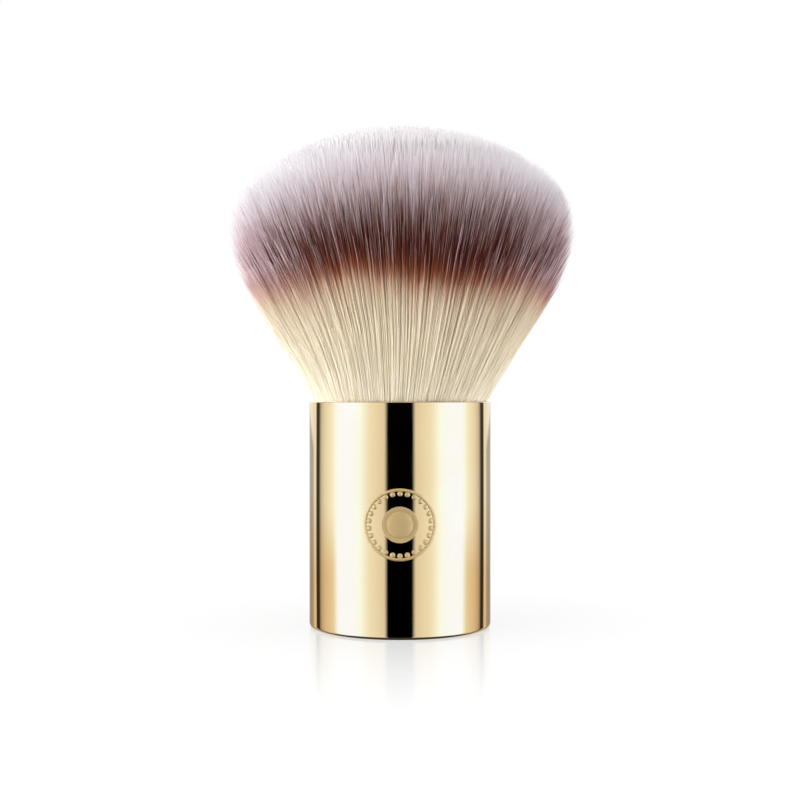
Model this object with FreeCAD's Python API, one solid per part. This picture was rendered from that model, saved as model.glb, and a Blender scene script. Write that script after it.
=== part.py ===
import FreeCAD, Part
import math
import os

# A short, weighted powder brush: a deep drawn metal cup for a handle and a dense flared tuft.
# Millimetres, +Z up, origin at the middle of the flat base. The medallion faces -Y.

# Handle shell, a drawn cup with a crisp base edge
handle_diameter = 34.0
handle_height = 41.9
shell_wall = 0.5
shell_floor = 0.6
base_edge_rounding = 0.7
base_inner_radius = 1.0
rim_rounding = 0.2

# Weight, glued to the floor of the shell
adhesive_thickness = 0.4
adhesive_margin = 1.0
weight_height = 8.0
weight_edge_rounding = 0.6
weight_clearance = 0.2

# Moulded core, which holds the weight down and carries the hair cup
core_clearance = 0.15
core_wall = 1.4
web_thickness = 1.6
hub_diameter = 8.0
hub_bore = 5.2
rib_count = 6
rib_thickness = 1.2

# Hair cup, set in the mouth of the shell
cup_recess = 0.6
cup_depth = 15.0
cup_clearance = 0.1
cup_wall = 0.4
cup_inner_corner = 1.0
glue_clearance = 0.05

# Bristle roots: potted in resin and tied with wound thread
resin_depth = 5.0
resin_clearance = 0.05
root_clearance = 0.1
binding_rise = 1.5
binding_height = 3.0
binding_thickness = 0.8
binding_clearance = 0.1

# Free tuft: a straight flare from the mouth, a round shoulder and a domed crown
mouth_clearance = 0.3
tuft_width = 63.4
tuft_height = 51.3
shoulder_radius = 14.6
crown_radius = 46.5
neck_height = 14.0

# Medallion on the front of the barrel
badge_below_middle = 0.6
badge_diameter = 12.8
badge_relief = 0.18
badge_seat_gap = 0.02
ring_width = 0.55
bead_diameter = 0.95
bead_bite = 0.1
bead_count = 26
boss_diameter = 6.4
boss_step_width = 0.9
boss_step_relief = 0.1

# Places worked out from the sizes above
handle_radius = handle_diameter / 2
shell_bore = handle_radius - shell_wall
core_radius = shell_bore - core_clearance
core_bore = core_radius - core_wall
weight_radius = core_bore - weight_clearance
weight_base = shell_floor + adhesive_thickness
web_base = weight_base + weight_height + weight_clearance
web_top = web_base + web_thickness
cup_top = handle_height - cup_recess
cup_base = cup_top - cup_depth
cup_radius = shell_bore - cup_clearance
cup_bore = cup_radius - cup_wall
resin_base = cup_base + cup_wall
resin_top = resin_base + resin_depth
root_radius = cup_bore - root_clearance
binding_base = resin_top + binding_rise
binding_top = binding_base + binding_height
waist_radius = root_radius - binding_thickness - binding_clearance
mouth_radius = shell_bore - mouth_clearance
badge_centre_height = handle_height / 2 - badge_below_middle
badge_seat_radius = handle_radius + badge_seat_gap

ORIGIN = FreeCAD.Vector(0, 0, 0)
UP = FreeCAD.Vector(0, 0, 1)
FORWARD = FreeCAD.Vector(0, -1, 0)


def at(radius, height):
    """A point of a turned profile."""
    return FreeCAD.Vector(radius, 0, height)


def corner_points(before, corner, after, rounding):
    """Start, middle and end of the tangent arc that rounds one corner of an outline."""
    to_before = (before - corner).normalize()
    to_after = (after - corner).normalize()
    half_angle = to_before.getAngle(to_after) / 2
    inward = (to_before + to_after).normalize()
    run = rounding / math.tan(half_angle)
    start = corner + to_before * run
    middle = corner + inward * (rounding / math.sin(half_angle) - rounding)
    return start, middle, corner + to_after * run


def turned(corners):
    """Solid turned about Z from corners of (radius, height, rounding)."""
    places = [at(radius, height) for radius, height, rounding in corners]
    edges = []
    ends = []
    for index, (radius, height, rounding) in enumerate(corners):
        corner = places[index]
        if rounding == 0:
            ends.append((corner, corner))
            continue
        after = places[(index + 1) % len(places)]
        start, middle, end = corner_points(places[index - 1], corner, after, rounding)
        edges.append(Part.Arc(start, middle, end).toShape())
        ends.append((start, end))
    for index, (start, end) in enumerate(ends):
        edges.append(Part.LineSegment(ends[index - 1][1], start).toShape())
    outline = Part.Wire(Part.__sortEdges__(edges))
    return Part.Face(outline).revolve(ORIGIN, UP, 360)


def tube(outer_radius, inner_radius, base, top):
    """Plain upright ring."""
    outer = Part.makeCylinder(outer_radius, top - base, at(0, base))
    inner = Part.makeCylinder(inner_radius, top - base, at(0, base))
    return outer.cut(inner)


def handle_shell():
    """Drawn cup of thin wall, with a crisp base edge and a softened rim."""
    rim_edge = min(rim_rounding, 0.4 * shell_wall)
    return turned([
        (0, 0, 0),
        (handle_radius, 0, base_edge_rounding),
        (handle_radius, handle_height, rim_edge),
        (shell_bore, handle_height, rim_edge),
        (shell_bore, shell_floor, base_inner_radius),
        (0, shell_floor, 0),
    ])


def weight_adhesive():
    """Disc of adhesive between the floor of the shell and the weight."""
    return Part.makeCylinder(weight_radius - adhesive_margin, adhesive_thickness, at(0, shell_floor))


def balance_weight():
    """Steel slug with rounded edges."""
    top = weight_base + weight_height
    return turned([
        (0, weight_base, 0),
        (weight_radius, weight_base, weight_edge_rounding),
        (weight_radius, top, weight_edge_rounding),
        (0, top, 0),
    ])


def core_rib(index):
    """One upright rib between the hub and the wall of the core."""
    inner_end = (hub_diameter + hub_bore) / 4
    outer_end = core_radius - core_wall / 2
    corner = FreeCAD.Vector(inner_end, -rib_thickness / 2, web_top)
    rib = Part.makeBox(outer_end - inner_end, rib_thickness, cup_base - web_top, corner)
    rib.rotate(ORIGIN, UP, 360 * index / rib_count)
    return rib


def core_sleeve():
    """Moulded sleeve: a skirt round the weight, a web over it, and a ribbed hub under the hair cup."""
    sleeve = turned([
        (core_bore, shell_floor, 0),
        (core_radius, shell_floor, base_inner_radius + core_clearance),
        (core_radius, cup_base, 0),
        (core_bore, cup_base, 0),
    ])
    web = Part.makeCylinder(core_radius - core_wall / 2, web_thickness, at(0, web_base))
    hub = tube(hub_diameter / 2, hub_bore / 2, web_top, cup_base)
    ribs = [core_rib(index) for index in range(rib_count)]
    return sleeve.multiFuse([web, hub] + ribs).removeSplitter()


def hair_cup():
    """Thin drawn cup that holds the bristle roots."""
    return turned([
        (0, cup_base, 0),
        (cup_radius, cup_base, cup_inner_corner + cup_wall),
        (cup_radius, cup_top, 0),
        (cup_bore, cup_top, 0),
        (cup_bore, resin_base, cup_inner_corner),
        (0, resin_base, 0),
    ])


def cup_glue():
    """Bead of glue in the corner that the hair cup, the core and the shell leave."""
    leg = (2 - math.sqrt(2)) * (cup_inner_corner + cup_wall) - 2 * glue_clearance
    outer = shell_bore - glue_clearance
    return turned([
        (outer - leg, cup_base, 0),
        (outer, cup_base, 0),
        (outer, cup_base + leg, 0),
    ])


def root_resin():
    """Cast resin in the bottom of the hair cup."""
    outer = cup_bore - resin_clearance
    return turned([
        (0, resin_base, 0),
        (outer, resin_base, cup_inner_corner),
        (outer, resin_top, 0),
        (0, resin_top, 0),
    ])


def root_binding():
    """Outer shape of the thread wound round the roots."""
    return tube(root_radius, root_radius - binding_thickness, binding_base, binding_top)


def bristle_root():
    """The part of the tuft inside the hair cup, drawn in where the thread ties it."""
    return turned([
        (0, resin_top, 0),
        (root_radius, resin_top, 0),
        (root_radius, binding_base, 0),
        (waist_radius, binding_base, 0),
        (waist_radius, binding_top, 0),
        (root_radius, binding_top, 0),
        (root_radius, cup_top, 0),
        (mouth_radius, handle_height, 0),
        (0, handle_height, 0),
    ])


def free_tuft():
    """The whole tuft above the rim: the flare meets the shoulder, and the shoulder the crown, tangent."""
    mouth = at(mouth_radius, handle_height)
    apex = at(0, handle_height + tuft_height)
    crown_centre = apex - UP * crown_radius
    shoulder_reach = tuft_width / 2 - shoulder_radius
    centre_gap = crown_radius - shoulder_radius
    rise = math.sqrt(centre_gap ** 2 - shoulder_reach ** 2)
    shoulder_centre = crown_centre + at(shoulder_reach, rise)

    to_centre = shoulder_centre - mouth
    lean = math.atan2(to_centre.z, to_centre.x) - math.asin(shoulder_radius / to_centre.Length)
    flare_length = math.sqrt(to_centre.Length ** 2 - shoulder_radius ** 2)
    flare_end = mouth + at(math.cos(lean), math.sin(lean)) * flare_length

    crown_angle = math.atan2(rise, shoulder_reach)
    crown_end = crown_centre + at(math.cos(crown_angle), math.sin(crown_angle)) * crown_radius
    crown_middle_angle = (crown_angle + math.pi / 2) / 2
    crown_middle = at(math.cos(crown_middle_angle), math.sin(crown_middle_angle))
    shoulder_middle_angle = (crown_angle + lean - math.pi / 2) / 2
    shoulder_middle = at(math.cos(shoulder_middle_angle), math.sin(shoulder_middle_angle))
    foot = at(0, handle_height)
    outline = Part.Wire([
        Part.LineSegment(foot, mouth).toShape(),
        Part.LineSegment(mouth, flare_end).toShape(),
        Part.Arc(flare_end, shoulder_centre + shoulder_middle * shoulder_radius, crown_end).toShape(),
        Part.Arc(crown_end, crown_centre + crown_middle * crown_radius, apex).toShape(),
        Part.LineSegment(apex, foot).toShape(),
    ])
    return Part.Face(outline).revolve(ORIGIN, UP, 360)


def neck_slab():
    """The height of the tuft that bends just above the rim."""
    return Part.makeCylinder(tuft_width, neck_height, at(0, handle_height))


def bristle_neck():
    """The bending foot of the free tuft."""
    return free_tuft().common(neck_slab())


def bristle_head():
    """The tuft above its bending foot."""
    return free_tuft().cut(neck_slab())


def stud(radius, across, up):
    """Round bar pointing forward out of the barrel, at a place on the medallion."""
    place = FreeCAD.Vector(across, 0, badge_centre_height + up)
    return Part.makeCylinder(radius, handle_diameter, place, FORWARD)


def on_barrel(pattern, relief):
    """What the pattern keeps of a thin skin on the front of the barrel."""
    base = badge_centre_height - badge_diameter
    top = badge_centre_height + badge_diameter
    skin = tube(badge_seat_radius + relief, badge_seat_radius, base, top)
    return pattern.common(skin)


def badge_ring():
    """Two plain rings joined by a row of beads, curved to the barrel."""
    outer_edge = badge_diameter / 2
    bead_radius = bead_diameter / 2
    bead_row = outer_edge - ring_width + bead_bite - bead_radius
    inner_edge = bead_row - bead_radius + bead_bite
    outer_ring = stud(outer_edge, 0, 0).cut(stud(outer_edge - ring_width, 0, 0))
    inner_ring = stud(inner_edge, 0, 0).cut(stud(inner_edge - ring_width, 0, 0))
    beads = []
    for index in range(bead_count):
        angle = 2 * math.pi * index / bead_count
        beads.append(stud(bead_radius, bead_row * math.cos(angle), bead_row * math.sin(angle)))
    pattern = outer_ring.multiFuse([inner_ring] + beads)
    return on_barrel(pattern, badge_relief)


def badge_boss():
    """Round centre of the medallion, in two low steps."""
    low_step = on_barrel(stud(boss_diameter / 2, 0, 0), boss_step_relief)
    high_step = on_barrel(stud(boss_diameter / 2 - boss_step_width, 0, 0), badge_relief)
    return low_step.fuse(high_step).removeSplitter()


PIECES = {
    "handle_shell": handle_shell,
    "weight_adhesive": weight_adhesive,
    "balance_weight": balance_weight,
    "core_sleeve": core_sleeve,
    "hair_cup": hair_cup,
    "cup_glue": cup_glue,
    "root_resin": root_resin,
    "root_binding": root_binding,
    "bristle_root": bristle_root,
    "bristle_neck": bristle_neck,
    "bristle_head": bristle_head,
    "badge_ring": badge_ring,
    "badge_boss": badge_boss,
}

os.makedirs("parts", exist_ok=True)
for name, make in PIECES.items():
    shape = make()
    solids = shape.Solids
    print(f"{name}: {len(solids)} solid, {shape.Volume / 1000:.3f} cm3, valid {shape.isValid()}")
    shape.exportStep(f"parts/{name}.step")
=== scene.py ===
# %% [markdown]
# A kabuki brush, dressed
#
# The brush is a polished gold metal cup, a small round medallion on its front, and a dense tuft of
# bristles dyed in three tones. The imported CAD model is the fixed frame: it says where every piece is and
# how the tuft bends. Everything here is in metres in that frame, so a new piece is simply made where the
# CAD piece is.

# %% Load the frame
import math

import bmesh
import bpy
import numpy as np
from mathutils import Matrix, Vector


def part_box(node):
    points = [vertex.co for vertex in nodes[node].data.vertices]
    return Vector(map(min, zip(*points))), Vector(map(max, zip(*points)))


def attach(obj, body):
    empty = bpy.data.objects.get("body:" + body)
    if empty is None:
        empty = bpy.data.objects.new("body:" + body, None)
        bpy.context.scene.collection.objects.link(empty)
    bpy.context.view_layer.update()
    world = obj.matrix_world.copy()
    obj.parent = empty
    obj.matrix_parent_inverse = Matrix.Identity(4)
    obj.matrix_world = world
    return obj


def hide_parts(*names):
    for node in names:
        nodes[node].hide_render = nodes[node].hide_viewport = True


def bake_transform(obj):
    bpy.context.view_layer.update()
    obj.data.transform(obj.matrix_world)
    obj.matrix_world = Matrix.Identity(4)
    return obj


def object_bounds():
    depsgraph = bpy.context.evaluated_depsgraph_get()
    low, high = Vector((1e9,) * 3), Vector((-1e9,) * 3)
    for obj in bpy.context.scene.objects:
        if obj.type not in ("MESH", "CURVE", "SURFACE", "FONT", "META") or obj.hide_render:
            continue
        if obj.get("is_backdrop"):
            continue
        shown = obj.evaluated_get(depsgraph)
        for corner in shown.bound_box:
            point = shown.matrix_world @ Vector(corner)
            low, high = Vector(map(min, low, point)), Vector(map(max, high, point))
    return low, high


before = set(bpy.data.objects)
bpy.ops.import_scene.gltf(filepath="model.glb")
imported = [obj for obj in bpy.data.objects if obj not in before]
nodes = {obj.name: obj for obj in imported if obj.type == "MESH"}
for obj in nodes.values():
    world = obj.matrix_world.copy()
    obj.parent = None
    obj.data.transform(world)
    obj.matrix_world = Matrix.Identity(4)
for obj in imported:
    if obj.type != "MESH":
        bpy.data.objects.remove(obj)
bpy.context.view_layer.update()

MM = 0.001

# %% [markdown]
# The camera
#
# The camera comes first, because every later choice is seen through it. In the photo the rim of the
# cup is a straight line while the base bulges down a little, so the lens is level with the rim. How much
# the base bulges gives the distance, and the size in the picture then gives the lens.

# %% Camera
photo_width_px = 800.0
focal_px = 1316.0
sensor_mm = 36.0
eye_distance = 248.0 * MM
eye_height = 42.28 * MM


def start_clean():
    """Nothing is selected and nothing is being edited, so that an operator acts on the new piece alone."""
    if bpy.context.object and bpy.context.object.mode != "OBJECT":
        bpy.ops.object.mode_set(mode="OBJECT")
    bpy.ops.object.select_all(action="DESELECT")


start_clean()
bpy.ops.object.camera_add(location=(0, -eye_distance, eye_height), rotation=(math.radians(90), 0, 0))
camera = bpy.context.object
camera.data.sensor_width = sensor_mm
camera.data.lens = sensor_mm * focal_px / photo_width_px
bpy.context.scene.camera = camera
bpy.context.scene.view_settings.view_transform = "Standard"
print("lens:", round(camera.data.lens, 1), "mm")

# %% [markdown]
# The studio
#
# Polished metal has hardly a colour of its own: it shows the room. The stripes on the cup are that room,
# a dark gap round the lens between two tall soft boxes that fade towards the gap, then thin dark stands,
# warm walls and a white backdrop. Lamps could be placed one by one, but a sky that is painted by compass
# angle is simpler: each strip is one stop of a ramp. The bristles want softer light than that, so a
# second ramp, with the key at the front left, is what every ray but a mirrored one meets.

# %% Sky painted by angle
STRIPS = [  # degrees from the lens, brightness
    (0, 0.0),
    (15.3, 0.0),
    (19.5, 0.85),
    (25, 0.9),
    (31, 0.97),
    (38, 1.1),
    (44, 1.4),
    (51, 1.85),
    (58, 2.15),
    (65, 2.35),
    (73, 2.5),
    (84, 2.4),
    (89, 1.75),
    (93, 1.45),
    (99, 1.2),
    (103, 1.04),
    (107, 0.95),
    (111, 0.85),
    (116, 0.7),
    (120, 0.45),
    (123, 0.05),
    (130, 0.04),
    (134, 1.0),
    (139, 0.9),
    (144, 0.5),
    (156, 0.45),
    (176, 0.55),
]
SOFT = [  # degrees from the lens, minus to the left, brightness
    (-180, 1.0),
    (-150, 1.3),
    (-115, 2.8),
    (-90, 5.0),
    (-60, 5.0),
    (-40, 3.3),
    (-15, 0.9),
    (15, 0.8),
    (50, 1.6),
    (70, 2.8),
    (110, 3.2),
    (150, 1.7),
    (180, 1.0),
]
full_level = 5.0
BOX_TINT = [  # red, green, blue: where it flattens, how much of the rise is left, the most it reaches
    (0.95, 0.2, 1.11),
    (1.0, 0.5, 1.4),
    (1.0, 1.0, 2.25),
]
# Each rise is the upward part of a ray's direction, from -1 straight down to 1 straight up.
warm_wall = (0.86, 0.72, 0.56)
warm_wall_angles = (84, 92)
warm_wall_rise = (-0.04, -0.14)
backdrop_level = 1.0
backdrop_angles = (130, 145)
backdrop_rise = (0.0, 0.02)
overhead_level = 0.62
mirrored_overhead = 0.3
overhead_rise = (0.45, 0.85)
mirrored_below = 0.05
below_rise = (-0.5, -0.75)
light_bounces = 20


def math_node(tree, operation, first, second=None):
    """One sum on a socket: the second value is a number or another socket."""
    node = tree.nodes.new("ShaderNodeMath")
    node.operation = operation
    tree.links.new(first, node.inputs[0])
    if isinstance(second, bpy.types.NodeSocket):
        tree.links.new(second, node.inputs[1])
    elif second is not None:
        node.inputs[1].default_value = second
    return node.outputs[0]


def spread(tree, value, low, high, to_low=0.0, to_high=1.0, smooth=False):
    """Map a value from one range to another, and hold it at the ends."""
    node = tree.nodes.new("ShaderNodeMapRange")
    node.interpolation_type = "SMOOTHSTEP" if smooth else "LINEAR"
    tree.links.new(value, node.inputs["Value"])
    node.inputs["From Min"].default_value = low
    node.inputs["From Max"].default_value = high
    node.inputs["To Min"].default_value = to_low
    node.inputs["To Max"].default_value = to_high
    return node.outputs["Result"]


def blend_value(tree, share, first, second):
    """A mix of two values, each a number or a socket."""
    node = tree.nodes.new("ShaderNodeMix")
    node.data_type = "FLOAT"
    tree.links.new(share, node.inputs["Factor"])
    for socket, value in zip((node.inputs["A"], node.inputs["B"]), (first, second)):
        if isinstance(value, bpy.types.NodeSocket):
            tree.links.new(value, socket)
        else:
            socket.default_value = value
    return node.outputs["Result"]


def ramp(tree, value, stops):
    """A colour ramp whose stops are (place from 0 to 1, colour)."""
    node = tree.nodes.new("ShaderNodeValToRGB")
    elements = node.color_ramp.elements
    while len(elements) < len(stops):
        elements.new(1.0)
    for element, (place, colour) in zip(elements, stops):
        element.position = place
        element.color = (*colour, 1.0)
    tree.links.new(value, node.inputs["Fac"])
    return node.outputs["Color"]


def mix_colour(tree, share, first, second, kind="MIX"):
    """A mix of two colours that are sockets or plain colours."""
    node = tree.nodes.new("ShaderNodeMix")
    node.data_type = "RGBA"
    node.blend_type = kind
    if isinstance(share, bpy.types.NodeSocket):
        tree.links.new(share, node.inputs["Factor"])
    else:
        node.inputs["Factor"].default_value = share
    for socket, colour in zip((node.inputs["A"], node.inputs["B"]), (first, second)):
        if isinstance(colour, bpy.types.NodeSocket):
            tree.links.new(colour, socket)
        else:
            socket.default_value = (*colour, 1)
    return node.outputs["Result"]


def angle_ramp(tree, angle, stops):
    """A colour by an angle in degrees. The stops are (degrees, colour)."""
    first, last = stops[0][0], stops[-1][0]
    places = [((place - first) / (last - first), colour) for place, colour in stops]
    return ramp(tree, spread(tree, angle, first, last), places)


def grey(level):
    """A plain brightness, as a share of the brightest one."""
    return (level / full_level,) * 3


def box_colour(level):
    """A soft box cools where it is brightest, so that its highlight on gold is white instead of yellow."""
    return tuple(
        min(min(level, knee) + max(level - knee, 0) * rise, most) / full_level
        for knee, rise, most in BOX_TINT
    )


def background(tree, colour, strength):
    node = tree.nodes.new("ShaderNodeBackground")
    if isinstance(colour, bpy.types.NodeSocket):
        tree.links.new(colour, node.inputs["Color"])
    else:
        node.inputs["Color"].default_value = (*colour, 1)
    node.inputs["Strength"].default_value = strength
    return node.outputs[0]


def pick_shader(tree, switch, no, yes):
    node = tree.nodes.new("ShaderNodeMixShader")
    tree.links.new(switch, node.inputs["Fac"])
    tree.links.new(no, node.inputs[1])
    tree.links.new(yes, node.inputs[2])
    return node.outputs[0]


def region(tree, aside, up, angles, rise):
    """1 in one part of the sky, by the angle from the lens and the rise, fading to 0 outside it."""
    return math_node(tree, "MULTIPLY", spread(tree, aside, *angles), spread(tree, up, *rise))


def mirrored_sky(tree, aside, up, high):
    """What a mirrored ray meets: the strips, warm low walls, a backdrop, and little above and below."""
    shown = angle_ramp(tree, aside, [(place, box_colour(level)) for place, level in STRIPS])
    walls = region(tree, aside, up, warm_wall_angles, warm_wall_rise)
    shown = mix_colour(tree, walls, shown, mix_colour(tree, 1.0, shown, warm_wall, "MULTIPLY"))
    backdrop = region(tree, aside, up, backdrop_angles, backdrop_rise)
    shown = mix_colour(tree, backdrop, shown, grey(backdrop_level))
    shown = mix_colour(tree, high, shown, grey(mirrored_overhead))
    return mix_colour(tree, spread(tree, up, *below_rise, smooth=True), shown, grey(mirrored_below))


def soft_sky(tree, turn, high):
    """What every other ray meets: soft light from both sides, less from above."""
    shown = angle_ramp(tree, turn, [(place, grey(level)) for place, level in SOFT])
    return mix_colour(tree, high, shown, grey(overhead_level))


def paint_sky(tree):
    tree.nodes.clear()
    split = tree.nodes.new("ShaderNodeSeparateXYZ")
    tree.links.new(tree.nodes.new("ShaderNodeTexCoord").outputs["Generated"], split.inputs[0])
    towards_lens = math_node(tree, "MULTIPLY", split.outputs["Y"], -1.0)
    turn = math_node(tree, "ARCTAN2", split.outputs["X"], towards_lens)
    turn = math_node(tree, "DEGREES", turn)
    aside = math_node(tree, "ABSOLUTE", turn)
    up = split.outputs["Z"]
    high = spread(tree, up, *overhead_rise, smooth=True)
    soft = background(tree, soft_sky(tree, turn, high), full_level)
    mirrored = background(tree, mirrored_sky(tree, aside, up, high), full_level)
    rays = tree.nodes.new("ShaderNodeLightPath")
    seen = pick_shader(tree, rays.outputs["Is Glossy Ray"], soft, mirrored)
    seen = pick_shader(tree, rays.outputs["Is Camera Ray"], seen, background(tree, (1, 1, 1), 1.0))
    out = tree.nodes.new("ShaderNodeOutputWorld")
    tree.links.new(seen, out.inputs["Surface"])


sky = bpy.data.worlds.new("studio_sky")
sky.use_nodes = True
paint_sky(sky.node_tree)
bpy.context.scene.world = sky
bpy.context.scene.cycles.diffuse_bounces = light_bounces
bpy.context.scene.cycles.max_bounces = light_bounces
print("sky:", len(STRIPS), "strips and", len(SOFT), "soft steps")

# %% [markdown]
# The floor
#
# The brush stands on a glossy white sheet that melts into a white backdrop. For the camera the sheet is
# mostly its own white, with a soft share of real shade, and a grazing gloss that mirrors the foot of the
# cup and the backdrop. The cup itself must mirror the studio and not the sheet, so the sheet is hidden
# from mirror rays.

# %% Floor sheet
floor_size = 60.0
floor_bounce = 0.8
sheet_glow = 0.905
sheet_shade = 0.12
sheet_roughness = 0.12
sheet_gloss_ior = 1.45
gloss_near, gloss_far = 15 * MM, 85 * MM
gloss_share = 0.9
shade_near, shade_far = 50 * MM, 160 * MM


def plain_shader(tree, kind, **values):
    """A shader node of that kind, its plain values set by socket name."""
    node = tree.nodes.new(kind)
    for label, value in values.items():
        node.inputs[label].default_value = value
    return node.outputs[0]


def sheet_material():
    material = bpy.data.materials.new("white_sheet")
    material.use_nodes = True
    tree = material.node_tree
    tree.nodes.clear()
    bounce = plain_shader(tree, "ShaderNodeBsdfDiffuse", Color=(floor_bounce,) * 3 + (1,))
    shade = plain_shader(tree, "ShaderNodeBsdfDiffuse", Color=(sheet_shade,) * 3 + (1,))
    glow = plain_shader(tree, "ShaderNodeEmission", Strength=sheet_glow)
    far = plain_shader(tree, "ShaderNodeEmission")
    mirror = plain_shader(tree, "ShaderNodeBsdfGlossy", Roughness=sheet_roughness)
    edge = plain_shader(tree, "ShaderNodeFresnel", IOR=sheet_gloss_ior)
    near = tree.nodes.new("ShaderNodeAddShader")
    tree.links.new(shade, near.inputs[0])
    tree.links.new(glow, near.inputs[1])
    length = tree.nodes.new("ShaderNodeVectorMath")
    length.operation = "LENGTH"
    tree.links.new(tree.nodes.new("ShaderNodeTexCoord").outputs["Object"], length.inputs[0])
    away = length.outputs["Value"]
    white = pick_shader(tree, spread(tree, away, shade_near, shade_far, smooth=True), near.outputs[0], far)
    fade = spread(tree, away, gloss_near, gloss_far, gloss_share, 0.0)
    seen = pick_shader(tree, math_node(tree, "MULTIPLY", edge, fade), white, mirror)
    rays = tree.nodes.new("ShaderNodeLightPath")
    look = pick_shader(tree, rays.outputs["Is Camera Ray"], bounce, seen)
    out = tree.nodes.new("ShaderNodeOutputMaterial")
    tree.links.new(look, out.inputs["Surface"])
    return material


start_clean()
bpy.ops.mesh.primitive_plane_add(size=floor_size)
floor = bpy.context.object
floor.name = "floor_sheet"
floor.data.materials.append(sheet_material())
floor.visible_glossy = False
floor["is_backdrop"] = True
print("floor:", floor_size, "m square")

# %% [markdown]
# Shared finishes
#
# Three small effects turn up on several materials, so each is a node group that is built once: cloudy
# patches that vary a colour or a shine, fine lines left by polishing or turning, and a tiny grain.

# %% Node groups
patch_edge = (0.35, 0.65)
line_edge = (0.3, 0.7)
line_stretch = (1, 1, 60)


def new_group(name, inputs, outputs):
    """An empty node group with number inputs {name: default} and value outputs."""
    tree = bpy.data.node_groups.new(name, "ShaderNodeTree")
    for label, default in inputs.items():
        socket = tree.interface.new_socket(label, in_out="INPUT", socket_type="NodeSocketFloat")
        socket.default_value = default
    for label in outputs:
        tree.interface.new_socket(label, in_out="OUTPUT", socket_type="NodeSocketFloat")
    entry = tree.nodes.new("NodeGroupInput")
    leave = tree.nodes.new("NodeGroupOutput")
    return tree, entry.outputs, leave.inputs


def object_place(tree, stretch=(1, 1, 1)):
    """Object coordinates, stretched along the axes."""
    place = tree.nodes.new("ShaderNodeTexCoord").outputs["Object"]
    mapping = tree.nodes.new("ShaderNodeMapping")
    mapping.inputs["Scale"].default_value = stretch
    tree.links.new(place, mapping.inputs["Vector"])
    return mapping.outputs["Vector"]


def noise(tree, place, scale, detail=3.0, roughness=0.55):
    node = tree.nodes.new("ShaderNodeTexNoise")
    tree.links.new(place, node.inputs["Vector"])
    if isinstance(scale, bpy.types.NodeSocket):
        tree.links.new(scale, node.inputs["Scale"])
    else:
        node.inputs["Scale"].default_value = scale
    node.inputs["Detail"].default_value = detail
    node.inputs["Roughness"].default_value = roughness
    return node.outputs["Fac"]


def build_clouds():
    """Soft patches: 0 where the surface is clean, 1 where it has been handled."""
    tree, entry, leave = new_group("handled_patches", {"Scale": 90.0, "Cover": 0.5}, ["Mask"])
    cloud = noise(tree, object_place(tree), entry["Scale"], detail=4.0)
    edge = math_node(tree, "SUBTRACT", cloud, math_node(tree, "SUBTRACT", entry["Cover"], 0.5))
    tree.links.new(spread(tree, edge, *patch_edge, smooth=True), leave["Mask"])
    return tree


def build_lines():
    """Fine lines round the axis, as polishing on a lathe leaves them."""
    tree, entry, leave = new_group("lathe_lines", {"Scale": 60.0}, ["Mask"])
    fine = noise(tree, object_place(tree, line_stretch), entry["Scale"], detail=2.0, roughness=0.7)
    tree.links.new(spread(tree, fine, *line_edge), leave["Mask"])
    return tree


def build_grain():
    """Even small grain, as on moulded plastic or cast resin."""
    tree, entry, leave = new_group("small_grain", {"Scale": 2500.0}, ["Mask"])
    grain = noise(tree, object_place(tree), entry["Scale"], detail=2.0, roughness=0.6)
    tree.links.new(grain, leave["Mask"])
    return tree


clouds = build_clouds()
lathe_lines = build_lines()
small_grain = build_grain()
print("node groups:", [group.name for group in (clouds, lathe_lines, small_grain)])

# %% [markdown]
# Material helpers
#
# Every finish is one Principled shader. What is the same all over is set on the shader itself, and only
# what changes over the surface is linked: a colour between two near tones, the roughness and a faint
# bump.

# %% Material helpers


def linear(red, green, blue):
    """A colour as a picture shows it, 0 to 255, as the linear values that shaders use."""
    shares = [value / 255 for value in (red, green, blue)]
    return tuple(s / 12.92 if s <= 0.04045 else ((s + 0.055) / 1.055) ** 2.4 for s in shares)


def new_material(name, **values):
    """A material with one Principled shader, its plain values set by socket name."""
    material = bpy.data.materials.new(name)
    material.use_nodes = True
    tree = material.node_tree
    shader = tree.nodes["Principled BSDF"]
    for label, value in values.items():
        shader.inputs[label.replace("_", " ")].default_value = value
    return material, tree, shader


def place_group(tree, group, **values):
    node = tree.nodes.new("ShaderNodeGroup")
    node.node_tree = group
    for label, value in values.items():
        node.inputs[label].default_value = value
    return node.outputs["Mask"]


def raise_by(tree, shader, height, distance, strength=1.0):
    """A bump on the shader's normal."""
    bump = tree.nodes.new("ShaderNodeBump")
    bump.inputs["Distance"].default_value = distance
    bump.inputs["Strength"].default_value = strength
    tree.links.new(height, bump.inputs["Height"])
    tree.links.new(bump.outputs["Normal"], shader.inputs["Normal"])


def polished_gold(name, clean, handled, smooth, dull, patch_scale, line_depth):
    """Bright gold metal: handled patches are a little warmer and duller, lathe lines are barely felt."""
    material, tree, shader = new_material(name, Metallic=1.0)
    patches = place_group(tree, clouds, Scale=patch_scale, Cover=0.45)
    lines = place_group(tree, lathe_lines, Scale=70.0)
    tree.links.new(mix_colour(tree, patches, clean, handled), shader.inputs["Base Color"])
    shine = blend_value(tree, patches, smooth, dull)
    tree.links.new(shine, shader.inputs["Roughness"])
    raise_by(tree, shader, lines, line_depth, strength=0.4)
    return material


def mottled(name, first, second, smooth, rough, group, scale, depth, **values):
    """A plain finish for the hidden pieces: two near tones, and a grain that varies shine and height."""
    material, tree, shader = new_material(name, **values)
    patches = place_group(tree, clouds, Scale=140.0, Cover=0.5)
    grain = place_group(tree, group, Scale=scale)
    tree.links.new(mix_colour(tree, patches, first, second), shader.inputs["Base Color"])
    tree.links.new(blend_value(tree, grain, smooth, rough), shader.inputs["Roughness"])
    raise_by(tree, shader, grain, depth)
    return material


print("material helpers ready")

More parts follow.
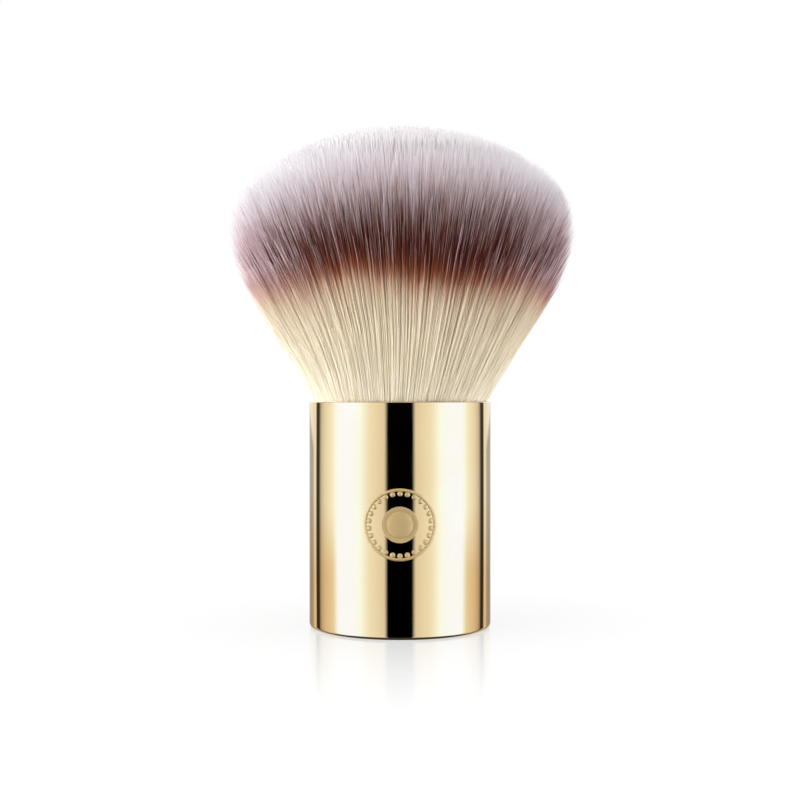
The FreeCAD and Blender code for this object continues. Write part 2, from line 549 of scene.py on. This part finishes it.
# %% [markdown]
# The gold cup
#
# The handle is one deep drawn cup: a straight barrel, a crisp base edge and a thin lip. It could be
# turned from a profile, but starting from a cylinder shows each step as at the bench: hollow the top with
# an inset and an extrude, then round the edges with bevels. A mirror finish shows every kink in the
# shading, so a cut close to each rounding keeps the long faces truly flat along the barrel.

# %% Cup body
cup_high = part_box("handle_shell")[1]
cup_radius = cup_high.x
cup_height = cup_high.z
cup_wall = 0.5 * MM
cup_floor = 0.6 * MM
base_rounding = 0.7 * MM
inner_rounding = 1.0 * MM
lip_rounding = 0.12 * MM
keep_flat = 0.06 * MM
base_inset = 0.1 * MM
cup_sides = 192
crease_angle = math.radians(40)
weld_distance = 0.0005 * MM
CLOSE = 0.01 * MM


def pick(piece, part, test):
    """In edit mode, select only the vertices, edges or faces for which the test of their vertices holds."""
    bpy.ops.mesh.select_all(action="DESELECT")
    mesh = bmesh.from_edit_mesh(piece.data)
    mesh.select_mode = {{"verts": "VERT", "edges": "EDGE", "faces": "FACE"}[part]}
    for element in getattr(mesh, part):
        corners = [element] if part == "verts" else element.verts
        if all(test(corner.co) for corner in corners):
            element.select_set(True)
    mesh.select_flush_mode()
    bmesh.update_edit_mesh(piece.data)


def at_height(height):
    return lambda point: abs(point.z - height) < CLOSE


def at_ring(radius, height):
    level = at_height(height)
    return lambda point: level(point) and abs(math.hypot(point.x, point.y) - radius) < CLOSE


def cut_level(height):
    """A cut right round at one height."""
    bpy.ops.mesh.select_all(action="SELECT")
    bpy.ops.mesh.bisect(plane_co=(0, 0, height), plane_no=(0, 0, 1))


def round_ring(piece, radius, height, rounding, segments):
    pick(piece, "edges", at_ring(radius, height))
    bpy.ops.mesh.bevel(offset=rounding, offset_type="OFFSET", segments=segments, affect="EDGES")


def finish_piece(piece, material, body, slot_name, *replaced):
    """Leave edit mode, smooth the shading, give the piece its finish, tie it to its body and hide the CAD
    nodes it replaces.
    """
    if piece.mode == "EDIT":
        bpy.ops.mesh.select_all(action="SELECT")
        bpy.ops.mesh.remove_doubles(threshold=weld_distance)
        bpy.ops.mesh.normals_make_consistent(inside=False)
        bpy.ops.object.mode_set(mode="OBJECT")
    bpy.ops.object.shade_smooth_by_angle(angle=crease_angle)
    piece.data.materials.clear()
    piece.data.materials.append(material)
    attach(piece, body)
    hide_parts(*replaced)


start_clean()
bpy.ops.mesh.primitive_cylinder_add(
    vertices=cup_sides, radius=cup_radius, depth=cup_height, location=(0, 0, cup_height / 2)
)
cup = bpy.context.object
cup.name = "gold_cup"
bpy.ops.object.transform_apply(location=True)
bpy.ops.object.mode_set(mode="EDIT")
pick(cup, "faces", at_height(cup_height))
bpy.ops.mesh.inset(thickness=cup_wall)
bpy.ops.mesh.extrude_region_move(TRANSFORM_OT_translate={"value": (0, 0, cup_floor - cup_height)})
round_ring(cup, cup_radius, 0.0, base_rounding, segments=8)
round_ring(cup, cup_radius, cup_height, lip_rounding, segments=4)
round_ring(cup, cup_radius - cup_wall, cup_height, lip_rounding, segments=4)
round_ring(cup, cup_radius - cup_wall, cup_floor, inner_rounding, segments=6)
for level in (base_rounding + keep_flat, cup_height - lip_rounding - keep_flat):
    cut_level(level)
pick(cup, "faces", at_height(0.0))
bpy.ops.mesh.inset(thickness=base_inset)

gold = polished_gold(
    "polished_gold",
    clean=(0.88, 0.692, 0.41),
    handled=(0.865, 0.67, 0.385),
    smooth=0.03,
    dull=0.06,
    patch_scale=70.0,
    line_depth=0.0004 * MM,
)
finish_piece(cup, gold, "handle", "gold_shell", "handle_shell")
print("cup:", len(cup.data.polygons), "faces,", round(cup_radius / MM, 2), "mm radius")

# %% [markdown]
# The medallion
#
# A small raised medallion sits on the front of the barrel: a plain rim, a row of beads and a stepped boss
# with the barrel bare between them. Each form is modelled flat, facing the lens, and then laid on the
# barrel: a point keeps its place as seen from the front and its height above the flat becomes height
# above the barrel.

# %% Medallion helpers
ring_low, ring_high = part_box("badge_ring")
boss_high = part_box("badge_boss")[1]
medallion_radius = ring_high.x
medallion_height = (ring_low.z + ring_high.z) / 2
boss_radius = boss_high.x
seat_gap = 0.02 * MM
seat_radius = cup_radius + seat_gap
rim_width = 0.55 * MM
rim_relief = 0.2 * MM
bead_count = 26
bead_radius = 0.475 * MM
bead_relief = 0.2 * MM
bead_overlap = 0.1 * MM
facing_lens = (math.radians(90), 0, 0)


def flatten_back(piece):
    """Press everything behind the flat onto it, which leaves a closed form with a flat back."""
    bpy.ops.object.mode_set(mode="EDIT")
    pick(piece, "verts", lambda point: point.y > 0)
    bpy.ops.transform.resize(value=(1, 0, 1), center_override=(0, 0, 0))
    bpy.ops.object.mode_set(mode="OBJECT")


def lay_on_barrel(piece):
    """Wrap a flat form onto the barrel at the medallion's height."""
    for vertex in piece.data.vertices:
        across, depth, up = vertex.co
        stretch = (seat_radius - depth) / seat_radius
        back = math.sqrt(seat_radius**2 - across**2)
        vertex.co = (across * stretch, -back * stretch, up + medallion_height)
    piece.data.update()


def join_as(name, pieces):
    start_clean()
    for piece in pieces:
        piece.select_set(True)
    bpy.context.view_layer.objects.active = pieces[0]
    bpy.ops.object.join()
    pieces[0].name = name
    pieces[0].data.name = name
    return pieces[0]


# %% Medallion rim and beads
start_clean()
bpy.ops.mesh.primitive_torus_add(
    major_radius=medallion_radius - rim_width / 2,
    minor_radius=rim_width / 2,
    major_segments=128,
    minor_segments=14,
    rotation=facing_lens,
)
rim = bpy.context.object
bpy.ops.object.transform_apply(rotation=True)
bpy.ops.transform.resize(value=(1, rim_relief / (rim_width / 2), 1))
bpy.ops.object.transform_apply(scale=True)
flatten_back(rim)

start_clean()
bead_ring = medallion_radius - rim_width - bead_radius + bead_overlap
bpy.ops.mesh.primitive_uv_sphere_add(segments=16, ring_count=8, radius=bead_radius)
bead = bpy.context.object
bpy.ops.transform.resize(value=(1, bead_relief / bead_radius, 1))
bpy.ops.transform.translate(value=(0, 0, bead_ring))
bpy.ops.object.transform_apply(location=True, scale=True)
flatten_back(bead)
beads = [bead]
for number in range(1, bead_count):
    start_clean()
    bead.select_set(True)
    bpy.context.view_layer.objects.active = bead
    bpy.ops.object.duplicate()
    copy = bpy.context.object
    copy.rotation_euler = (0, math.tau * number / bead_count, 0)
    bpy.ops.object.transform_apply(rotation=True)
    beads.append(copy)

medallion_rim = join_as("medallion_rim", [rim, *beads])
lay_on_barrel(medallion_rim)
medal_gold = polished_gold(
    "medallion_gold",
    clean=(0.96, 0.725, 0.36),
    handled=(0.92, 0.68, 0.32),
    smooth=0.54,
    dull=0.62,
    patch_scale=400.0,
    line_depth=0.002 * MM,
)
finish_piece(medallion_rim, medal_gold, "handle", "gold_badge", "badge_ring")
print("medallion rim:", bead_count, "beads,", len(medallion_rim.data.polygons), "faces")

# %% [markdown]
# The boss
#
# The boss is turned in steps, so it starts as a flat round plate and its front face is drawn in and out
# again: a broad step, a narrow groove, then a dome made of a few insets that follow a circle.

# %% Medallion boss
boss_sides = 72
edge_inset = 0.06 * MM
broad_step = 0.6 * MM
groove_width = 0.1 * MM
step_relief = 0.1 * MM
plate_relief = 0.18 * MM
groove_depth = 0.06 * MM
dome_height = 0.1 * MM
dome_cover = 0.92
dome_rings = 6


def draw_front(inward, outward):
    """Inset the selected front face and move it towards the lens."""
    bpy.ops.mesh.inset(thickness=inward)
    bpy.ops.transform.translate(value=(0, -outward, 0))


start_clean()
bpy.ops.mesh.primitive_cylinder_add(
    vertices=boss_sides,
    radius=boss_radius,
    depth=plate_relief,
    location=(0, -plate_relief / 2, 0),
    rotation=facing_lens,
)
boss = bpy.context.object
bpy.ops.object.transform_apply(location=True, rotation=True)
bpy.ops.object.mode_set(mode="EDIT")
pick(boss, "faces", lambda point: point.y < -plate_relief + CLOSE)
draw_front(edge_inset, 0.0)
draw_front(broad_step, 0.0)
draw_front(groove_width, -groove_depth)
draw_front(groove_width, 0.0)
draw_front(edge_inset, groove_depth + step_relief)
dome_radius = boss_radius - broad_step - 2 * (edge_inset + groove_width)
for ring in range(dome_rings):
    low, high = ring / dome_rings, (ring + 1) / dome_rings
    rise = math.sqrt(1 - (1 - high) ** 2) - math.sqrt(1 - (1 - low) ** 2)
    draw_front(dome_cover * dome_radius / dome_rings, dome_height * rise)
bpy.ops.object.mode_set(mode="OBJECT")
lay_on_barrel(boss)
boss.name = "medallion_boss"
finish_piece(boss, medal_gold, "handle", "gold_badge", "badge_boss")
print("boss:", len(boss.data.polygons), "faces,", round(boss_radius / MM, 2), "mm radius")

# %% [markdown]
# The bristle
#
# The tuft is tens of thousands of straight synthetic bristles, each a fine thread that tapers to a soft
# tip. Hair particles would be quick to add, but they leave no mesh behind. So one bristle is modelled, a
# thin three sided stick that is cut into lengths and pinched towards the tip, and then copied along each
# path. Its height runs from -1 at the root to 0 at the rim of the cup and 1 at the tip.

# %% Master bristles


def model_bristle(cuts, widths):
    """The points and faces of one bristle along Z, cut at those heights and as wide there as widths says."""
    start_clean()
    bpy.ops.mesh.primitive_cylinder_add(vertices=3, radius=1.0, depth=2.0)
    stick = bpy.context.object
    bpy.ops.object.mode_set(mode="EDIT")
    for height in cuts[1:-1]:
        cut_level(height)
    for height, width in zip(cuts, widths):
        pick(stick, "verts", at_height(height))
        bpy.ops.transform.resize(value=(width, width, 1), center_override=(0, 0, height))
    bpy.ops.object.mode_set(mode="OBJECT")
    points = np.array([vertex.co for vertex in stick.data.vertices])
    faces = [list(face.vertices) for face in stick.data.polygons]
    bpy.data.objects.remove(stick)
    return points, faces


fine_bristle = model_bristle(cuts=[-1, 0, 0.2, 0.45, 0.87, 1], widths=[0.8, 1, 1, 1, 0.72, 0.2])
plain_bristle = model_bristle(cuts=[-1, 0, 0.55, 0.92, 1], widths=[0.6, 0.7, 0.9, 1, 0.5])
print("bristle:", len(fine_bristle[1]), "faces outside,", len(plain_bristle[1]), "faces inside")

# %% [markdown]
# The shape of the tuft
#
# The bristles stand side by side in the mouth of the cup and fan out as if they came from one point below
# it. They are cut to a dome: a wide crown with a round shoulder, a little wider than the CAD tuft because
# single tips stand out from it. A bristle's length is where its own line meets that dome, so the outline
# is made by the tips alone, as on the real brush.

# %% Dome and fan
head_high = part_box("bristle_head")[1]
rim_height = cup_height
mouth_radius = 16.2 * MM
shoulder_radius = 14.6 * MM
crown_radius = 46.5 * MM
tip_overhang = 0.7 * MM
tuft_radius = head_high.x + tip_overhang
tuft_top = head_high.z
shoulder_out = tuft_radius - shoulder_radius
crown_base = tuft_top - crown_radius
shoulder_up = crown_base + math.sqrt((crown_radius - shoulder_radius) ** 2 - shoulder_out**2)


def fan_lean():
    """How far the outermost bristle leans: its line from the mouth just touches the shoulder."""
    across, up = shoulder_out - mouth_radius, shoulder_up - rim_height
    away = math.hypot(across, up)
    return math.atan2(across, up) + math.asin(shoulder_radius / away)


widest_lean = fan_lean()
fan_point = rim_height - mouth_radius / math.tan(widest_lean)


def far_crossing(lean, out, up, radius):
    """How far along its line, from the fan point, a bristle leaves a circle."""
    along = np.cos(lean) * (up - fan_point) + np.sin(lean) * out
    rest = out**2 + (up - fan_point) ** 2 - radius**2
    return along + np.sqrt(np.maximum(along**2 - rest, 0))


def reach(lean):
    """How far the dome is from the fan point, for each lean."""
    turn_out = crown_radius * shoulder_out / (crown_radius - shoulder_radius)
    turn_up = crown_base + math.sqrt(crown_radius**2 - turn_out**2)
    turn_lean = math.atan2(turn_out, turn_up - fan_point)
    crown = far_crossing(lean, 0.0, crown_base, crown_radius)
    shoulder = far_crossing(lean, shoulder_out, shoulder_up, shoulder_radius)
    return np.where(lean < turn_lean, crown, shoulder)


print("fan point:", round(fan_point / MM, 1), "mm, widest lean:", round(math.degrees(widest_lean), 1))

# %% [markdown]
# Planting the bristles
#
# The bristles are planted like the seeds of a sunflower: each turns on by the golden angle and the ring
# grows with the root of the number, which fills the mouth evenly. A little chance in lean, length and
# bow, and a slow wave that gathers neighbours into locks, take the machine look off. A last, finer set
# strays at the two sides, most at the left, where the tuft is loosest; their pale ends are painted rim
# light. The seed is fixed.

# %% Planting plan
chance = np.random.default_rng(7)
golden_angle = math.pi * (3 - math.sqrt(5))
binding_points = np.array([vertex.co for vertex in nodes["root_binding"].data.vertices])
binding_bore = np.hypot(binding_points[:, 0], binding_points[:, 1]).min()
root_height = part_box("bristle_root")[0].z
root_fit = 0.98
bristle_radius = 0.053 * MM
thick_range = (0.8, 1.2)
sway_right = 0.65 * MM
trumpet = 0.5 * MM
bow_jitter = 0.07 * MM
lean_jitter = math.radians(0.2)
turn_jitter = 0.02
tip_jitter = 0.006
body_ring = 0.79
edge_fade = 0.06
widest_ring = 1.01
ring_steps = 500
stray_ring = 0.79
turn_steps = 721
front_share = 0.01
side_focus = 4
side_weight, left_weight = 1.3, 0.4
over_one = 1.001  # instead of 1, so that nothing is divided by zero where no length is missing
TIP_LOCKS = ((61, 97, 140), (0.3, 1.7, 4.0))  # waves round the tuft, and where each starts
TONE_LOCKS = ((47, 83, 129), (2.0, 0.4, 3.1))
SHIFT_LOCKS = ((23, 59, 101), (1.0, 5.2, 2.6))
lock_twist = 9
lock_pull = 0.004
lock_weight = 0.5
tone_chance, shift_chance = 0.8, 0.5
# Painted side light: how much paler the ends are at the two sides and at the left.
painted_side_light, painted_left_light = 0.9, 0.4
early_right, early_sides = 0.4, 0.1
early_scallops = 0.4
scallop_count, scallop_start = 5, 1.2
dye_middle, dye_contrast = 0.5, 0.3
below_one = 0.999


def locks(turn, ring, counts, phases):
    """A sum of slow waves round the tuft, from about -1 to 1."""
    waves = [np.sin(count * turn + phase + lock_twist * ring) for count, phase in zip(counts, phases)]
    return sum(waves) / len(waves)


def fan_tip(turn, lean, length):
    out = np.sin(lean) * length
    return np.stack([out * np.cos(turn), out * np.sin(turn), fan_point + np.cos(lean) * length], axis=1)


def opened_ring(share):
    """How far out a tip stands, for its bristle's share of the count from the middle: evenly in the body of
    the tuft, and thinning out towards the edge."""
    rings = np.linspace(0, widest_ring, ring_steps)
    crowd = np.where(rings < body_ring, 1.0, np.exp((body_ring - rings) / edge_fade))
    counted = np.cumsum(crowd * rings)
    return np.interp(share, counted / counted[-1], rings)


def to_sides(turn):
    """Move directions towards the two sides, a little more to the left."""
    round_turn = np.linspace(0, math.tau, turn_steps)
    across = np.cos(round_turn)
    crowd = (front_share + across**side_focus) * (side_weight - left_weight * across)
    counted = np.cumsum(crowd)
    return np.interp(turn % math.tau, math.tau * counted / counted[-1], round_turn)


def dye_plan(turn, ring, count):
    """How pale each bristle's ends are and how early its brown starts: by lock, by chance and by side; the
    paler ends at the two sides and the left are painted side light.
    """
    tone_and_side_light = lock_weight * locks(turn, ring, *TONE_LOCKS) + chance.normal(0, tone_chance, count)
    # Painted side light: the ends pale at the two sides, and more at the left, where the key light is.
    tone_and_side_light += painted_side_light * np.cos(2 * turn) - painted_left_light * np.cos(turn)
    shift = lock_weight * locks(turn, ring, *SHIFT_LOCKS) + chance.normal(0, shift_chance, count)
    shift += (
        early_right * np.cos(turn)
        + early_sides * np.cos(2 * turn)
        + early_scallops * np.sin(scallop_count * turn + scallop_start)
    )
    return [np.clip(dye_middle + dye_contrast * value, 0, below_one) for value in (tone_and_side_light, shift)]


def plant(count, first, last, uneven, shortest=1.0, stray=0.0, fineness=1.0):
    """Where some of the bristles start, lean to and end: from the first to the last share of the count.
    Tips fall short of the dome by about the uneven length. Strays may be as short as that share of the
    full length, lean out by up to that many degrees, the shorter the more, and gather at the two sides."""
    number = np.arange(count)
    share = first + (last - first) * (number + 0.5) / count
    ring = np.sqrt(share)
    opened = opened_ring(share)
    turn = number * golden_angle + chance.normal(0, turn_jitter, count)
    if stray:
        opened = chance.uniform(stray_ring, widest_ring, count)
        turn = to_sides(turn)
    lean = np.arctan(opened * math.tan(widest_lean)) + chance.normal(0, lean_jitter, count)
    lean = np.clip(lean, 0, widest_lean * widest_ring)
    gathered = locks(turn, ring, *TIP_LOCKS) * (stray == 0)
    tip_turn = turn + lock_pull * gathered + chance.normal(0, tip_jitter, count)
    kept = chance.uniform(shortest, 1.0, count)
    length = reach(lean) * kept - chance.exponential(uneven, count)
    lean = lean + np.radians(stray) * chance.uniform(0, 1, count) * (1 - kept) / (over_one - shortest)
    tip = fan_tip(tip_turn, lean, length)
    tip[:, 0] += sway_right * (tip[:, 2] - rim_height) / (tuft_top - rim_height)
    outward = np.stack([np.cos(turn), np.sin(turn), np.zeros(count)], axis=1)
    start = outward * ring[:, None]
    to_right = np.array([sway_right / 2, 0, 0])
    tone_and_side_light, shift = dye_plan(turn, ring, count)
    return {
        "root": start * binding_bore * root_fit + np.array([0, 0, root_height]),
        "rim": start * mouth_radius + np.array([0, 0, rim_height]),
        "tip": tip,
        "bow": chance.normal(0, bow_jitter, (count, 3)) - outward * trumpet * ring[:, None] ** 2 + to_right,
        "thick": bristle_radius * fineness * chance.uniform(*thick_range, count),
        "tone_and_side_light": tone_and_side_light,
        "shift": shift,
    }


inner_plan = plant(18000, first=0.0, last=0.4, uneven=0.8 * MM, fineness=1.8)
outer_plan = plant(37000, first=0.4, last=1.0, uneven=1.5 * MM)
# The strays gather at the sides, most at the left, and their pale ends there are painted rim light.
stray_plan = plant(
    7000, first=0.97, last=1.0, uneven=1.0 * MM, shortest=0.84, stray=0.4, fineness=0.85
)
for label, plan in (("inner", inner_plan), ("outer", outer_plan), ("stray", stray_plan)):
    print("planted:", len(plan["tip"]), label, "bristles")

# %% [markdown]
# Copying the bristle
#
# Each bundle becomes one mesh: the master's points are carried along every path at once with arrays,
# because copying sixty thousand objects by operator would take hours. Every point also learns its
# distance from the rim and from the tip in millimetres, its bristle's tone, which also carries the
# painted side light, and its dye shift. The UV map gives a column to each tone and shift, and runs up
# the column along the bristle, so that bristles that share a column share a colour.

# %% Bundle maker
tone_steps = 8
shift_steps = 6
column_margin = 0.15
end_margin = 0.01
corner_slant = 0.004


def along_path(plan, height):
    """The middle line of each bristle at the master's heights: root, rim, a slight bow, tip."""
    below = np.clip(-height, 0, 1)[None, :, None]
    above = np.clip(height, 0, 1)[None, :, None]
    rim, root, tip = (plan[key][:, None, :] for key in ("rim", "root", "tip"))
    bow = plan["bow"][:, None, :] * 4 * above * (1 - above)
    return rim + (root - rim) * below + (tip - rim) * above + bow


def crossways(plan):
    """Two directions square to each bristle, turned at random about it."""
    axis = plan["tip"] - plan["rim"]
    length = np.linalg.norm(axis, axis=1)
    axis = axis / length[:, None]
    side = np.cross(axis, chance.normal(0, 1, axis.shape))
    side /= np.linalg.norm(side, axis=1)[:, None]
    return side, np.cross(axis, side), length


def column_uv(points, faces, tone_and_side_light, shift):
    """For each corner: across the bristle's own column, and up along the bristle."""
    corner = np.concatenate(faces)
    angle = np.arctan2(points[:, 1], points[:, 0]) / math.tau + 0.5
    across = column_margin + (1 - 2 * column_margin) * angle[corner]
    up = end_margin + (1 - 2 * end_margin) * (points[corner, 2] + 1) / 2 + corner_slant * across
    column = np.floor(tone_and_side_light * tone_steps) * shift_steps + np.floor(shift * shift_steps)
    u = (column[:, None] + across[None, :]) / (tone_steps * shift_steps)
    v = np.broadcast_to(up[None, :], u.shape)
    return np.stack([u, v], axis=2)


def bundle_mesh(name, place, faces):
    """One mesh from the points of every bristle, each with the same faces."""
    count, size = place.shape[:2]
    corner = np.concatenate(faces)
    sizes = np.array([len(face) for face in faces])
    first_corner = np.arange(count) * len(corner)
    starts = np.tile(np.cumsum(sizes) - sizes, count) + np.repeat(first_corner, len(faces))
    mesh = bpy.data.meshes.new(name)
    mesh.vertices.add(count * size)
    mesh.vertices.foreach_set("co", place.astype(np.float32).ravel())
    mesh.loops.add(count * len(corner))
    mesh.loops.foreach_set("vertex_index", (corner + np.arange(count)[:, None] * size).ravel())
    mesh.polygons.add(count * len(faces))
    mesh.polygons.foreach_set("loop_start", starts)
    mesh.update(calc_edges=True)
    mesh.shade_smooth()
    return mesh


def set_values(mesh, name, values):
    attribute = mesh.attributes.new(name, "FLOAT", "POINT")
    attribute.data.foreach_set("value", np.ascontiguousarray(values, np.float32).ravel())


def make_bundle(name, plan, master, material):
    points, faces = master
    side, other, length = crossways(plan)
    middle = along_path(plan, points[:, 2])
    offset = side[:, None, :] * points[None, :, 0, None] + other[:, None, :] * points[None, :, 1, None]
    mesh = bundle_mesh(name, middle + offset * plan["thick"][:, None, None], faces)
    uv = mesh.uv_layers.new(name="OFBake")
    corner_uv = column_uv(points, faces, plan["tone_and_side_light"], plan["shift"])
    uv.uv.foreach_set("vector", corner_uv.astype(np.float32).ravel())
    free = np.clip(points[:, 2], 0, 1)[None, :] * length[:, None] / MM
    set_values(mesh, "from_rim", free)
    set_values(mesh, "to_tip", length[:, None] / MM - free)
    for label, steps in (("tone_and_side_light", tone_steps), ("shift", shift_steps)):
        level = np.floor(plan[label] * steps) / (steps - 1)
        set_values(mesh, label, np.repeat(level, len(points)))
    mesh.materials.append(material)
    bundle = bpy.data.objects.new(name, mesh)
    bpy.context.scene.collection.objects.link(bundle)
    return bundle


print("columns:", tone_steps * shift_steps)

# %% [markdown]
# The dye, and painted light
#
# The bristles are dipped: cream at the cup, then a ragged step into a reddish brown, dark plum, and pale
# lilac ends that are almost white. The ramps run along the distance from the rim, shifted a little for
# each bristle, so the step stays ragged. Near its tip a bristle is thin, and above the step its colour
# pales towards the tip, a painted glow of light coming through. The finer strays at the sides pale most,
# to mauve, which is painted rim light. At the two sides and the left all the pale ends reach further
# down, which is painted side light.

# %% Dyed bristle material, with painted glow and side light
dye_length = 56.0
ragged_step = 4.5
ragged_ends_and_side_light = 9.0
FOOT_DYE = [  # millimetres from the rim, colour as seen
    (0, (254, 247, 228)),
    (12.8, (253, 245, 225)),
    (18.8, (245, 232, 210)),
    (22.0, (226, 194, 165)),
    (24.2, (170, 98, 66)),
    (26.8, (114, 54, 40)),
    (30.0, (102, 48, 39)),
]
END_DYE = [
    (28.8, (102, 48, 39)),
    (32.0, (120, 68, 62)),
    (34.3, (162, 125, 128)),
    (36.6, (199, 178, 189)),
    (39.3, (221, 212, 222)),
    (46.0, (239, 237, 244)),
]
dye_change = (28.0, 31.5)
# Painted glow of light through the thin tips:
painted_tip_glow = (246, 240, 238)
# Painted rim light on the strays at the sides:
painted_rim_glow = (245, 220, 227)
paling = (19.0, 27.0)
# The shade runs from warm_tone to plain_tone with the tone: partly random, partly painted side light.
warm_tone = (1.0, 0.985, 0.955)
plain_tone = (1.0, 1.0, 1.0)
bristle_shine = (0.45, 0.32)


def attribute(tree, name):
    node = tree.nodes.new("ShaderNodeAttribute")
    node.attribute_name = name
    return node.outputs["Fac"]


def dyed(tree, along, stops):
    """The colour along a bristle, from stops in millimetres."""
    places = [(place / dye_length, linear(*colour)) for place, colour in stops]
    return ramp(tree, math_node(tree, "DIVIDE", along, dye_length), places)


def bristles_dye_and_painted_light(name, tip_length, tip_glow_share, tip_glow_colour):
    material, tree, shader = new_material(name, Specular_IOR_Level=0.12)
    tone_and_side_light, shift = attribute(tree, "tone_and_side_light"), attribute(tree, "shift")
    from_rim = attribute(tree, "from_rim")
    foot_moved = spread(tree, shift, 0, 1, -ragged_step / 2, ragged_step / 2)
    # The ends move with the tone: at random, and further down at the two sides and the left, which is
    # painted side light.
    ends_moved = spread(tree, tone_and_side_light, 0, 1, -ragged_ends_and_side_light / 2, ragged_ends_and_side_light / 2)
    foot = dyed(tree, math_node(tree, "ADD", from_rim, foot_moved), FOOT_DYE)
    ends = dyed(tree, math_node(tree, "ADD", from_rim, ends_moved), END_DYE)
    dye = mix_colour(tree, spread(tree, from_rim, *dye_change), foot, ends)
    # Painted glow: above the step the colour pales towards the tip, as if light came through the thin tip.
    tip_glow_mask = spread(tree, attribute(tree, "to_tip"), tip_length, 0.0, 0.0, tip_glow_share)
    tip_glow_mask = math_node(tree, "MULTIPLY", tip_glow_mask, spread(tree, from_rim, *paling))
    dye = mix_colour(tree, tip_glow_mask, dye, linear(*tip_glow_colour))
    # Partly random tone, partly painted side light: bristles at the sides and the left come out a little
    # plainer.
    shade = mix_colour(tree, tone_and_side_light, warm_tone, plain_tone)
    colour = mix_colour(tree, 1.0, dye, shade, "MULTIPLY")
    tree.links.new(colour, shader.inputs["Base Color"])
    tree.links.new(spread(tree, shift, 0, 1, *bristle_shine), shader.inputs["Roughness"])
    return material


main_dye_and_painted_light = bristles_dye_and_painted_light("bristles_dye_and_painted_light", tip_length=5.0, tip_glow_share=0.35, tip_glow_colour=painted_tip_glow)
# The strays pale to mauve over most of their length above the step: painted rim light.
stray_dye_and_rim_light = bristles_dye_and_painted_light("strays_dye_and_painted_rim_light", tip_length=20.0, tip_glow_share=0.95, tip_glow_colour=painted_rim_glow)
print("dye:", len(FOOT_DYE) + len(END_DYE), "stops over", dye_length, "mm")

# %% [markdown]
# Bundles
#
# The outer bristles are split by direction into seven bundles, the inner ones into three and the strays
# into two, which keeps every mesh a handy size. All of them grow from the fixed root.


def share_of(plan, rows):
    return {key: value[rows] for key, value in plan.items()}


def split_round(plan, parts):
    """Cut a plan into equal sectors by the direction of the roots."""
    turn = np.arctan2(plan["rim"][:, 1], plan["rim"][:, 0])
    sector = np.floor((turn / math.tau + 0.5) * parts).astype(int) % parts
    return [share_of(plan, sector == part) for part in range(parts)]


def plant_bundles(prefix, plan, parts, master, material):
    for number, part in enumerate(split_round(plan, parts), start=1):
        bundle = make_bundle(f"{prefix}_{number}", part, master, material)
        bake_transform(bundle)
        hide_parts("bristle_root", "bristle_neck", "bristle_head")
        triangles = sum(len(face.vertices) - 2 for face in bundle.data.polygons)
        print(bundle.name, len(part["tip"]), "bristles,", triangles, "triangles")


plant_bundles("outer_bristles", outer_plan, parts=7, master=fine_bristle, material=main_dye_and_painted_light)
plant_bundles("inner_bristles", inner_plan, parts=3, master=plain_bristle, material=main_dye_and_painted_light)
plant_bundles("stray_bristles", stray_plan, parts=2, master=fine_bristle, material=stray_dye_and_rim_light)

# %% [markdown]
# The pieces inside
#
# Inside the cup are the weight, its adhesive, the ribbed core, the thin cup that holds the roots, glue,
# resin and the thread. Their CAD shapes are right and stay, and each gets the finish that the real piece
# would have.

# %% Finishes of the inner pieces
inside = {
    "balance_weight": mottled(
        "turned_steel", (0.5, 0.5, 0.51), (0.42, 0.42, 0.43),
        smooth=0.25, rough=0.42, group=lathe_lines, scale=60.0, depth=0.004 * MM, Metallic=1.0,
    ),
    "hair_cup": mottled(
        "drawn_aluminium", (0.82, 0.82, 0.83), (0.75, 0.76, 0.78),
        smooth=0.2, rough=0.38, group=lathe_lines, scale=40.0, depth=0.003 * MM, Metallic=1.0,
    ),
    "core_sleeve": mottled(
        "moulded_core", linear(222, 219, 210), linear(208, 204, 194),
        smooth=0.45, rough=0.6, group=small_grain, scale=2600.0, depth=0.02 * MM,
    ),
    "weight_adhesive": mottled(
        "adhesive_film", linear(228, 219, 190), linear(214, 202, 170),
        smooth=0.35, rough=0.5, group=small_grain, scale=1800.0, depth=0.02 * MM,
    ),
    "cup_glue": mottled(
        "set_glue", linear(230, 222, 196), linear(216, 206, 176),
        smooth=0.25, rough=0.4, group=small_grain, scale=900.0, depth=0.03 * MM,
    ),
    "root_resin": mottled(
        "cast_resin", linear(206, 176, 116), linear(184, 150, 92),
        smooth=0.12, rough=0.28, group=small_grain, scale=700.0, depth=0.02 * MM,
    ),
    "root_binding": mottled(
        "wound_thread", linear(232, 228, 216), linear(216, 210, 196),
        smooth=0.7, rough=0.9, group=lathe_lines, scale=120.0, depth=0.1 * MM,
    ),
}
for name, material in inside.items():
    nodes[name].data.materials.clear()
    nodes[name].data.materials.append(material)
print("inner finishes:", sorted(inside))

# %% [markdown]
# The size
# Blender never changes the object's size. The box of the dressed model is printed.

# %% Print the size and finish
low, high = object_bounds()
print("box:", [round(value / MM, 1) for value in high - low], "mm")
